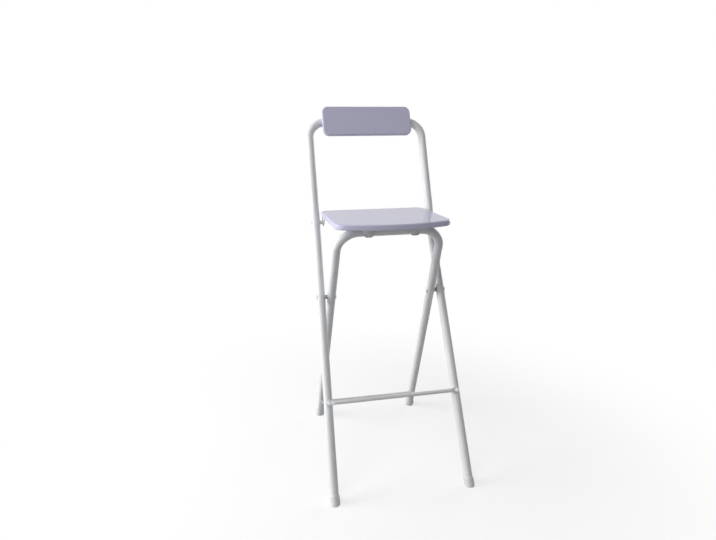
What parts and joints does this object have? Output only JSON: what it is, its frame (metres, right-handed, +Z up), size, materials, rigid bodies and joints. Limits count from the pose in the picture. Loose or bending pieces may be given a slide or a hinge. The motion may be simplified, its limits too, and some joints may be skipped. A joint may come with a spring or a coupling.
{
  "type": "folding bar stool",
  "caption": "Folding bar stool with a low board back: crossed bent-tube legs, a flat seat that hinges up, a footrest bar and plastic feet.",
  "frame": {"origin": "centre of the footprint on the floor", "axes": "+Z up, -Y the stool's front, +X to the right as seen from the front"},
  "size_m": [0.3732, 0.4727, 0.9426],
  "materials": {
    "white_paint": "white powder coat, satin gloss",
    "lilac_board": "glossy lilac lacquer on board",
    "white_plastic": "moulded, fine satin texture",
    "grey_plastic": "moulded nylon, satin",
    "dark_plastic": "moulded nylon washer",
    "zinc": "bright zinc plating",
    "brass": "turned, hidden in the board"
  },
  "bodies": {
    "back_frame": {"outer_frame": "white_paint", "backrest_board": "lilac_board", "backrest_screws": "zinc", "backrest_inserts": "brass", "footrest_bar": "white_paint", "footrest_rivets": "zinc", "front_foot_right": "white_plastic", "front_foot_left": "white_plastic", "frame_pivot_rivets": "zinc", "frame_pivot_washers": "dark_plastic", "seat_hinge_rivets": "zinc", "seat_hinge_spacers": "white_plastic"},
    "rear_legs": {"inner_frame": "white_paint", "rear_stretcher": "white_paint", "stretcher_rivets": "zinc", "rear_foot_right": "white_plastic", "rear_foot_left": "white_plastic"},
    "seat": {"seat_board": "lilac_board", "seat_bracket_right": "white_paint", "seat_bracket_left": "white_paint", "seat_bracket_screws": "zinc", "seat_hook_right": "grey_plastic", "seat_hook_left": "grey_plastic", "seat_hook_screws": "zinc"}
  },
  "joints": [
    {"name": "leg_fold", "type": "hinge", "parent": "back_frame", "child": "rear_legs", "pos_m": [0, 0.00497, 0.4545], "axis": [-1, 0, 0], "range_deg": [0, 50]},
    {"name": "seat_fold", "type": "hinge", "parent": "back_frame", "child": "seat", "pos_m": [0, 0.09281, 0.6383], "axis": [-1, 0, 0], "range_deg": [0, 98.7]}
  ],
  "couplings": [
    {"joint": "seat_fold", "follows": "leg_fold", "ratio": 1.974}
  ]
}
